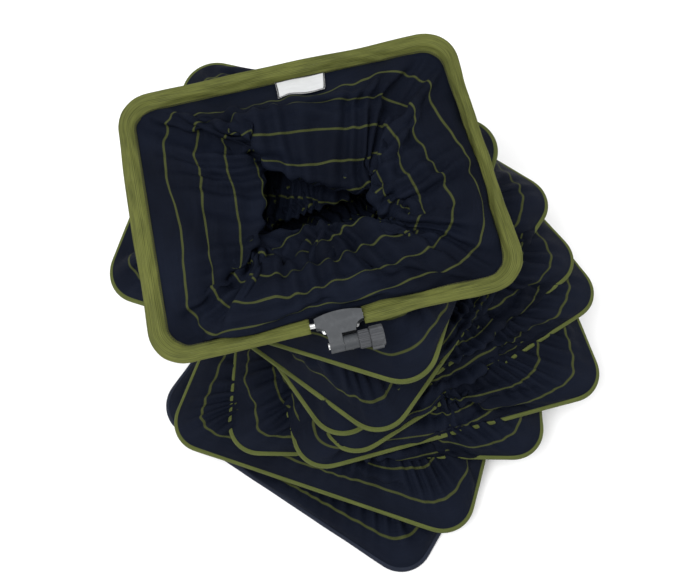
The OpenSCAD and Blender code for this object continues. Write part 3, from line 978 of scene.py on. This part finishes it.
# %% [markdown]
# ## The netting across the bottom
# The base hoop is closed by a flat panel of the same net. It lies on the floor under the
# inner half of the binding, drum-tight at its edge and slightly puckered further in. It is
# a grid of rings that shrink towards the middle, and the last ring is closed by one point.

# %% Base panel
PANEL_RINGS, PANEL_AROUND = 26, 132


def base_panel():
    """Rings of the hoop's outline scaled from 1 to 0.02, with a ripple of half a millimetre."""
    share = np.arange(PANEL_AROUND) / PANEL_AROUND
    edge, _ = way(hoops[0], share)
    size = np.linspace(1.0, 0.02, PANEL_RINGS)[:, None]
    flat = hoops[0]["middle"] + (edge - hoops[0]["middle"]) * size[..., None]
    ripple = np.sin(2 * np.pi * share * 13 + 9 * size) * np.sin(7 * np.pi * size)
    flat[..., 2] = 0.0008 + 0.0005 * (1 + ripple) * (1 - size**6)
    middle = flat[-1:].mean(1, keepdims=True)
    centre = np.repeat(middle, PANEL_AROUND, 1)
    return np.concatenate([flat, centre])


points = base_panel()
obj = grid_mesh("base_netting", points[::-1], (1, 1), wrap_columns=True)
spots = np.array([obj.data.vertices[i].co.xy for i in range(len(obj.data.vertices))])
corners = np.empty(len(obj.data.loops), np.int32)
obj.data.loops.foreach_get("vertex_index", corners)
flat_axes = hoops[0]["axes"][:2, :2]
obj.data.uv_layers["cloth"].data.foreach_set(
    "uv", ((spots @ flat_axes.T)[corners] + 0.3).astype(np.float32).ravel()
)
finish = obj.modifiers.new("close", "WELD")
finish.merge_threshold = 1e-6
wear(obj, "base", floor_netting, "navy_mesh", "base_panel")

# %% [markdown]
# ## The bindings
# A woven tape is folded over each rod, with the edges of two walls tucked inside, and sewn
# through. That gives it a drop-shaped section: round where the rod is, and drawn thin
# towards the stitching on its inner side. One profile is worked out for every step round
# the hoop at once, with fine ribs along it and a slow wander, because a sewn tape is
# never quite even.

# %% Bindings
TAPE_AROUND, TAPE_STEPS = 54, 420
TAPE_OUT, TAPE_IN, TAPE_HIGH = 0.0056, 0.0080, 0.0048
RIB_DEEP = 0.00016
RIB_COUNT = 18


def carried(points, outward, upright, out, up):
    """A profile carried along a path: path point + out * outward + up * upright."""
    return points[None] + out[..., None] * outward[None] + up[..., None] * upright


def tape_section(share, seed):
    """Out and up offsets of the drop-shaped section, ribbed, for every share of the way round.

    out runs from TAPE_OUT to -TAPE_IN as a cosine. up is a sine times a height that falls
    to under half towards the sewn edge. Ribs add a little where sin(RIB_COUNT * angle) is high.
    """
    rng = np.random.default_rng(seed)
    angle = np.linspace(0, 2 * np.pi, TAPE_AROUND, endpoint=False)[:, None]
    wander = sum(
        rng.uniform(0.1, 0.4) * np.sin(2 * np.pi * m * share + rng.uniform(0, 6.28))
        for m in (3, 5, 9, 14, 23)
    )
    middle, half = (TAPE_OUT - TAPE_IN) / 2, (TAPE_OUT + TAPE_IN) / 2
    fall = 0.70 + 0.30 * np.cos(angle - 0.35)
    rib = RIB_DEEP * np.sin(RIB_COUNT * angle)
    out = middle + (half + rib) * np.cos(angle) + 0.0004 * wander
    up = (TAPE_HIGH * fall + rib) * np.sin(angle) + 0.0003 * np.roll(wander, 90)
    return out, up


def binding(k, name):
    """The tape round hoop k as a closed ring of sections."""
    share = np.arange(TAPE_STEPS) / TAPE_STEPS
    points, outward = way(hoops[k], share)
    out, up = tape_section(share, 40 + k)
    shape = carried(points, outward, hoops[k]["axes"][2], out, up)
    return grid_mesh(name, shape, (way_length(hoops[k]), 0.030), True, True)


tapes = {}
for k in range(LAST):
    name = "base_tape" if k == 0 else f"tape_{k}"
    node = "base_binding" if k == 0 else f"binding_{k}"
    slot = "navy_binding" if k == 0 else "olive_binding"
    tapes[k] = wear(binding(k, name), bodies[k], navy_tape if k == 0 else olive_tape, slot, node)
print("tapes:", len(tapes), "of", TAPE_AROUND * TAPE_STEPS, "faces")

# %% [markdown]
# ## Stitches
# A row of lockstitches runs along the inner side of every tape. Each stitch is a small
# spindle, thin at both ends where the thread dives into the cloth. One spindle is worked
# out once, and copied along the way round the hoop with array arithmetic, so that four
# hundred of them cost no more than one.

# %% Stitches
STITCH_LONG, STITCH_EVERY, STITCH_THICK = 0.0031, 0.0042, 0.00042


def spindle(length, thick, sides=6, rings=4):
    """A grid round the long axis whose radius is a sine of the way along, closed at both ends."""
    along = np.linspace(0, np.pi, rings + 2)[:, None]
    angle = np.linspace(0, 2 * np.pi, sides, endpoint=False)[None]
    radius = thick * np.maximum(np.sin(along), 0.02)
    x = -np.cos(along) * length / 2 + 0 * angle
    return np.stack([x, -radius * np.cos(angle), radius * np.sin(angle)], -1)


def stitch_row(name, points, along, side, upright, length=STITCH_LONG, thick=STITCH_THICK):
    """One spindle at each point, its long axis on along, merged into a single object."""
    one = spindle(length, thick)
    rings, sides = one.shape[:2]
    faces, _ = grid_faces(rings, sides, False, True)
    one = one.reshape(-1, 3)
    frames = np.stack([along, side, upright], 1)
    shape = points[:, None] + np.einsum("pa,nac->npc", one, frames)
    step = (np.arange(len(points)) * len(one))[:, None, None]
    faces = (faces.reshape(-1, 4)[None] + step).reshape(-1, 4)
    return link_mesh(name, shape.reshape(-1, 3), faces, np.tile([0.001, 0.001], (faces.size, 1)))


def sew(k, name, out, up, slot, material):
    """A row of stitches at a given place on hoop k's section, a little uneven."""
    count = int(way_length(hoops[k]) / STITCH_EVERY)
    rng = np.random.default_rng(70 + k)
    share = (np.arange(count) + rng.uniform(-0.12, 0.12, count)) / count
    points, outward = way(hoops[k], share)
    upright = np.broadcast_to(hoops[k]["axes"][2], outward.shape)
    along = np.cross(upright, outward)
    points = points + outward * (out + rng.normal(0, 0.00012, (count, 1))) + upright * up
    return wear(stitch_row(name, points, along, outward, upright), bodies[k], material, slot)


for k in range(LAST):
    name = "base_stitches" if k == 0 else f"stitches_{k}"
    slot = "navy_binding" if k == 0 else "olive_binding"
    sew(k, name, -0.0056, 0.0026, slot, thread_black if k == 0 else thread_olive)
print("stitches a hoop:", int(way_length(hoops[1]) / STITCH_EVERY))

# %% [markdown]
# ## The mouth's sleeve
# The sleeve is a flattened tube of mesh pulled over the steel rod. The rod shows through
# as a low, soft ridge, and the rest lies as a flat band that tilts one way and another as it
# goes round, because it is free to turn on the rod. It is cut short beside the bracket: on
# the left a little rod shows, and on the right the spare length is pushed up in ruffles.

# %% Sleeve
SLEEVE_AROUND, SLEEVE_STEPS = 60, 900
body_box = (node_points("bracket_body") - hoops[LAST]["middle"]) @ hoops[LAST]["axes"].T
GAP_LEFT, GAP_RIGHT = body_box[:, 0].min() - 0.007, body_box[:, 0].max() + 0.0005
SHEET_HALF, ROD_LIFT, ROD_WIDE = 0.0014, 0.0034, 0.0092
DRIFTS = [(2, 0.5), (3, 0.6), (5, 0.5), (8, 0.4), (13, 0.3)]


def bell(x, middle, width):
    """A smooth bump of height 1."""
    return np.exp(-(((x - middle) / width) ** 2))


def sleeve_path():
    """Shares of the way round from the bracket's right end to its left end, and the distance."""
    first = front_share(hoops[LAST], GAP_RIGHT)
    last = 1 + front_share(hoops[LAST], GAP_LEFT)
    share = np.linspace(first, last, SLEEVE_STEPS)
    return share, (share - first) * way_length(hoops[LAST])


def corner_distances():
    """How far each corner's middle is from the sleeve's right end."""
    hoop = hoops[LAST]
    length, width = hoop["size"] - 2 * hoop["corner"]
    quarter = hoop["corner"] * np.pi / 2
    first = front_share(hoop, GAP_RIGHT) * way_length(hoop)
    stops = np.cumsum([quarter / 2, quarter + length, quarter + width, quarter + length])
    return np.mod(stops - first, way_length(hoop))


def sleeve_section(distance):
    """Out and up offsets of the sleeve, before it tilts, for each step along it.

    The half thickness is SHEET_HALF plus a bell over the rod. The band's outer and inner
    reach drift along the way. Ruffles are waves that run across the band near the right
    end, and pleats are short sharp ones in the corners.
    """
    rng = np.random.default_rng(5)
    total = distance[-1]
    drift = [
        sum(a * np.sin(2 * np.pi * m * distance / total + rng.uniform(0, 6.28)) for m, a in DRIFTS)
        for _ in range(3)
    ]
    end = bell(distance, 0, 0.055)
    corners = sum(bell(distance, c, 0.022) for c in corner_distances())
    reach_out = 0.0118 + 0.0012 * drift[0] + 0.0042 * end + 0.0012 * corners
    reach_in = 0.0128 + 0.0014 * drift[1] + 0.0034 * end + 0.0016 * corners
    reach_in = np.maximum(reach_in, FIN + 0.0014)
    angle = np.linspace(0, 2 * np.pi, SLEEVE_AROUND, endpoint=False)[:, None]
    turn = np.cos(angle)
    out = np.where(turn > 0, reach_out * turn, reach_in * turn)
    half = SHEET_HALF + ROD_LIFT * np.exp(-((out / ROD_WIDE) ** 2))
    side = np.sign(np.sin(angle)) * np.abs(np.sin(angle)) ** 0.55
    across = np.clip(np.abs(turn) - 0.25, 0, 1)
    ruffle = end * np.sin(distance / 0.0125 + 2.2 * turn) * 0.0026 * across
    pleat = corners * np.sin(distance / 0.0042 + 3.0 * turn) * 0.0011 * across
    ripple = 0.0007 * across * np.sin(distance / 0.021 + drift[2] * 2.5 + turn)
    ripple += 0.0006 * np.sin(out / 0.0021 + 3.2 * drift[2] + 2.0 * drift[0])
    rib = 0.00012 * np.sin(26 * angle)
    close = np.clip(np.minimum(distance, total - distance) / 0.003, 0.02, 1) ** 0.5
    covers = np.minimum(half, MOUTH_ROD / 2 + 0.0003)
    half = covers * np.where(covers > MOUTH_ROD / 2, 1, close) + (half - covers) * close
    up = side * (half + rib) + ruffle + pleat + ripple
    return out, up


share, distance = sleeve_path()
points, outward = way(hoops[LAST], share)
upright = hoops[LAST]["axes"][2]
out, up = sleeve_section(distance)
lean = lean_at(share)
tilted = out * np.cos(lean) - up * np.sin(lean), out * np.sin(lean) + up * np.cos(lean)
sleeve_shape = carried(points, outward, upright, *tilted)
obj = grid_mesh("mouth_sleeve_mesh", sleeve_shape, (distance[-1], 0.052), wrap_rows=True)
sleeve = wear(obj, "mouth", sleeve_mesh, "olive_mesh", "mouth_sleeve")
print("sleeve", round(distance[-1], 3), "m long, leaning", np.degrees(lean[::225]).round())

# %% [markdown]
# ## Overlock stitching
# Where the netting meets the sleeve, and all round the label, the raw edges are bound with
# an overlock stitch: a black thread that zigzags over the edge. It is a thin tube along a
# zigzag path. The tube's own frame comes from the path's direction and the surface's
# upright, so it never twists.

# %% Zigzag threads
ZIG_EVERY, ZIG_WIDE, ZIG_THICK = 0.0034, 0.0030, 0.00038


def thread_tube(name, path, upright, thick, closed=True, sides=5):
    """A tube round a path: each ring is a circle in the plane of the upright and the side."""
    if closed:
        ahead = np.roll(path, -1, 0) - np.roll(path, 1, 0)
    else:
        ahead = np.gradient(path, axis=0)
    side = np.cross(ahead, upright)
    side /= np.maximum(np.linalg.norm(side, axis=1, keepdims=True), 1e-12)
    angle = np.linspace(0, 2 * np.pi, sides, endpoint=False)[:, None, None]
    shape = path[None] + thick * (np.cos(angle) * side[None] + np.sin(angle) * upright[None])
    length = np.linalg.norm(np.diff(path, axis=0), axis=1).sum()
    return grid_mesh(name, shape, (length, 0.002), wrap_rows=True, wrap_columns=closed)


def zigzag(edge, inward, upright, wide, every):
    """A path that swings from the edge to wide inside it and back, four points to a stitch."""
    step = np.linalg.norm(np.diff(edge, axis=0), axis=1)
    along = np.r_[0, np.cumsum(step)]
    count = int(along[-1] / every) * 4
    at = np.linspace(0, along[-1], count)
    read = [
        np.stack([np.interp(at, along, a[:, i]) for i in range(3)], -1)
        for a in (edge, inward, upright)
    ]
    phase = np.arange(count) % 4
    swing = np.array([0.0, 0.6, 1.0, 0.6])[phase][:, None] * wide
    lift = np.array([0.0004, 0.0007, 0.0002, 0.0007])[phase][:, None]
    return read[0] + read[1] * swing + read[2] * lift, read[2]


inner = SLEEVE_AROUND // 2
edge = sleeve_shape[inner]
beside = sleeve_shape[inner - 4]
outwards = (beside - edge) / np.linalg.norm(beside - edge, axis=1, keepdims=True)
over = np.broadcast_to(upright, edge.shape)
path, over = zigzag(edge - outwards * 0.0006, outwards, over, 0.0042, ZIG_EVERY)
obj = thread_tube("sleeve_overlock", path, over, ZIG_THICK, closed=False)
wear(obj, "mouth", thread_black, "olive_mesh")
print("overlock:", len(path) // 4, "stitches")

# %% [markdown]
# ## The label
# A small satin label hangs from the sleeve at the back and lies on the slack netting, so it
# has to follow every bulge of the wall behind it. It is cut from the same smooth surface:
# we read the wall under the label and lift the label off it by a little more than the
# thickness of the cloth. It is left blank, with the black overlock all round.

# %% Label
LABEL_WIDE, LABEL_TALL, LABEL_OFF = 0.075, 0.034, 0.0022


def wall_at(points, u, v):
    """Points of a refined wall at shares u round and v up, by straight steps between its grid."""
    rows, columns = points.shape[:2]
    r, c = v * (rows - 1), np.mod(u, 1) * columns
    r0, c0 = np.minimum(r.astype(int), rows - 2), c.astype(int) % columns
    fr, fc = (r - r0)[..., None], (c - c.astype(int))[..., None]
    c1 = (c0 + 1) % columns
    low = points[r0, c0] * (1 - fc) + points[r0, c1] * fc
    high = points[r0 + 1, c0] * (1 - fc) + points[r0 + 1, c1] * fc
    return low * (1 - fr) + high * fr


def label_shape():
    """The wall under the label, moved off it along the wall's normal, towards the inside."""
    middle = back_share(hoops[LAST], label_middle)
    half = LABEL_WIDE / 2 / way_length(hoops[LAST])
    u = np.linspace(middle + half, middle - half, 61)[None]
    v = np.linspace(1 - (LABEL_TALL + 0.002) / WALL, 1 - 0.002 / WALL, 29)[:, None]
    u, v = np.broadcast_arrays(u, v)
    smooth = wall_at(pressed[LAST], u, v)
    normal = grid_normals(smooth, closed=False)
    return smooth + normal * LABEL_OFF, normal, v


label_points, label_normals, label_v = label_shape()
obj = grid_mesh("label_cloth", label_points, (LABEL_WIDE, LABEL_TALL))
thick = obj.modifiers.new("thickness", "SOLIDIFY")
thick.thickness, thick.offset = 0.0006, 0.0
label = wear(obj, None, label_satin, "white_cloth", "label")
span_joint(label)
rim = [(0, slice(None)), (slice(None), -1), (-1, slice(None, None, -1)), (slice(None, None, -1), 0)]
border = np.concatenate([label_points[r][:-1] for r in rim])
lifted = np.concatenate([label_normals[r][:-1] for r in rim])
centre = label_points.mean((0, 1))
inwards = centre - border
inwards -= (inwards * lifted).sum(1, keepdims=True) * lifted
inwards /= np.linalg.norm(inwards, axis=1, keepdims=True)
path, over = zigzag(border, inwards, lifted, 0.0024, 0.0026)
obj = thread_tube("label_overlock", path, over, 0.0004)
wear(obj, None, thread_black, "white_cloth")
span_joint(obj)
print("label middle at", label_points.mean((0, 1)).round(3))

# %% [markdown]
# ## The bracket
# The bracket's parts have their true shape already, but their edges are knife sharp, and a
# moulded part never is. A copy of each part is made, its loose triangles are merged, and a
# bevel rounds every hard edge by half a millimetre. The copy carries the plastic's finish.

# %% Bracket mouldings
EDGE_ROUND = 0.0006
MERGE = 1e-5


def moulding(node, name, body, material, slot, width=EDGE_ROUND):
    """A merged copy of a CAD node with rounded edges, riding where the node does."""
    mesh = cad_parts[node].data.copy()
    mesh.name = name
    mesh.materials.clear()
    if "custom_normal" in mesh.attributes:
        mesh.attributes.remove(mesh.attributes["custom_normal"])
    obj = bpy.data.objects.new(name, mesh)
    scene.collection.objects.link(obj)
    weld = obj.modifiers.new("merge", "WELD")
    weld.merge_threshold = MERGE
    bevel = obj.modifiers.new("rounded edges", "BEVEL")
    bevel.width, bevel.segments, bevel.limit_method = width, 3, "ANGLE"
    bevel.angle_limit, bevel.harden_normals = math.radians(35), True
    bevel.use_clamp_overlap = True
    mesh.polygons.foreach_set("use_smooth", np.ones(len(mesh.polygons), bool))
    return wear(obj, body, material, slot, node)


for node, body, material in (
    ("bracket_body", "mouth", plastic),
    ("bracket_back", "mouth", plastic),
    ("lock_collar", "mouth", grip_plastic),
    ("tilt_hub", "tilt_hub", plastic),
    ("lock_knob", "knob", grip_plastic),
    ("knob_cap", "knob", plastic),
):
    moulding(node, node + "_moulding", body, material, "black_plastic")
print("mouldings made")

# %% [markdown]
# ## The threaded stud
# The stud screws into a bank stick. Its thread is a helix, which the plain solid stands in
# for. Here it is one grid: the angle runs round and the height runs along, and the radius
# rises and falls as a triangle wave of height minus pitch times turns, which is exactly
# what makes a screw. Both ends run out to a smaller radius and are closed.

# %% Thread
PITCH, THREAD_DEEP, ROOT = 0.00127, 0.0008, 0.0035
STUD_AROUND, STUD_RINGS = 40, 180


def threaded_stud(low, high, radius):
    """A grid of rings from the low to the high point with the radius of a screw thread."""
    axis = high - low
    length = np.linalg.norm(axis)
    axis /= length
    side = np.cross(axis, [0, 1.0, 0])
    side /= np.linalg.norm(side)
    other = np.cross(axis, side)
    along = np.linspace(0, 1, STUD_RINGS)[:, None]
    angle = np.linspace(0, 2 * np.pi, STUD_AROUND, endpoint=False)[None]
    phase = np.mod(along * length / PITCH - angle / (2 * np.pi), 1)
    depth = THREAD_DEEP * np.abs(2 * phase - 1)
    ends = np.clip(np.minimum(along, 1 - along) * length / 0.0012, 0, 1)
    size = (radius - depth) * ends + ROOT * 0.8 * (1 - ends)
    size = np.where((along == 0) | (along == 1), 1e-5, np.minimum(size, radius))
    place_ = low + axis * (along * length)[..., None]
    return place_ + size[..., None] * (
        np.cos(angle)[..., None] * side + np.sin(angle)[..., None] * other
    )


stud = node_points("thread_stud")
stud_axis = -hoops[LAST]["axes"][2]
reach = (stud - stud.mean(0)) @ stud_axis
foot = stud[reach > reach.max() - 1e-5].mean(0)
radius = np.linalg.norm(np.cross(stud - foot, stud_axis), axis=1).max()
top = foot - stud_axis * (reach.max() - reach.min())
shape = threaded_stud(foot, top, radius)
obj = grid_mesh("stud_thread", shape, (2 * math.pi * radius, 0.02), wrap_columns=True)
wear(obj, "tilt_hub", brass, "brass", "thread_stud")
print("stud radius", round(radius * 1000, 2), "mm, foot at", foot.round(3))

# %% [markdown]
# ## Parts that keep their own mesh
# The rods, ferrules, screws, pin and spring are right as they stand. They only need their
# finish, which goes into the material slots they already have.

# %% Finish the carried parts
FINISHES = dict.fromkeys(
    ("ferrule", "base_ferrule", "mouth_frame", "clamp_screws", "pivot_pin"), steel
)
FINISHES |= {"hoop": rod_fibre, "base_hoop": rod_fibre}
FINISHES |= {"knob_spring": spring_steel, "lock_gear": grip_plastic}
for node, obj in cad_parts.items():
    finish = FINISHES.get(node, FINISHES.get(node.rsplit("_", 1)[0]))
    if finish is not None:
        for material_slot in obj.material_slots:
            material_slot.material = finish
print("finishes given to", sorted(FINISHES))

# %% [markdown]

# %% [markdown]
# ## Floor and light
# The net lies on a plain, nearly white floor in an even studio light. A large soft light
# stands over the left shoulder, a weaker one fills from the right, and the world gives the
# rest, so the shadows are short and pale.

# %% Studio
FLOOR = (0.9, 0.9, 0.9, 1)
corners = np.array([[[-6, -6, 0], [6, -6, 0]], [[-6, 6, 0], [6, 6, 0]]], float)
floor = grid_mesh("floor", corners, (12, 12))
material, net, shader = new_material("studio_floor", FLOOR[:3], Roughness=0.9)
spot = net.node("ShaderNodeTexCoord").outputs["Object"]
shade = net.range(net.noise(spot, 0.8), 0.3, 0.7)
net.put(shader.inputs["Base Color"], net.mix(shade, FLOOR, (0.93, 0.93, 0.93, 1)))
floor.data.materials.append(material)


def soft_light(name, place_, aim, size, power):
    """A square area light that looks at a point."""
    light = bpy.data.lights.new(name, "AREA")
    light.size, light.energy = size, power
    obj = bpy.data.objects.new(name, light)
    scene.collection.objects.link(obj)
    obj.location = place_
    look(obj, aim)


soft_light("key_light", (-0.9, -0.5, 2.2), (0, 0.15, 0.1), 1.2, 38)
soft_light("fill_light", (1.5, 0.3, 1.6), (0, 0.15, 0.1), 1.6, 12)
scene.view_settings.view_transform = "Standard"
world = bpy.data.worlds.new("studio")
scene.world = world
world.use_nodes = True
world.node_tree.nodes["Background"].inputs["Color"].default_value = (1, 1, 1, 1)
world.node_tree.nodes["Background"].inputs["Strength"].default_value = 0.9
print("lights ready")
